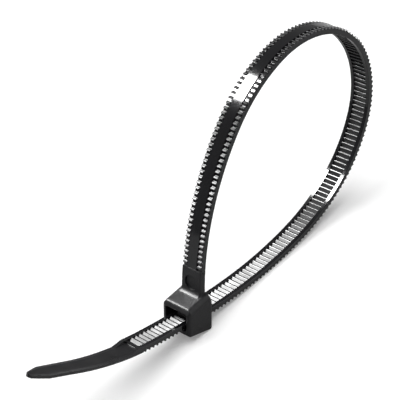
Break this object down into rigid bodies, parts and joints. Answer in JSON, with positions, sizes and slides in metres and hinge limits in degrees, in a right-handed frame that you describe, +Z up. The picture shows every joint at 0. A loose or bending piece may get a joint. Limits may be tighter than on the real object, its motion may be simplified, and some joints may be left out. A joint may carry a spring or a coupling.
{
  "type": "cable tie",
  "caption": "One-piece nylon cable tie closed into a loop: toothed, serrated strap drawn through a ratchet head with its thin tail left long.",
  "frame": {"origin": "middle of the base of the overall box, on the resting surface", "axes": "+X from the tail's tip towards the loop, +Y across the strap's width, +Z up from the resting surface"},
  "size_m": [0.094, 0.007, 0.0439],
  "materials": {
    "black_nylon": "glossy strap, satin head"
  },
  "bodies": {
    "root": {"cable_tie": "black_nylon"}
  },
  "joints": []
}
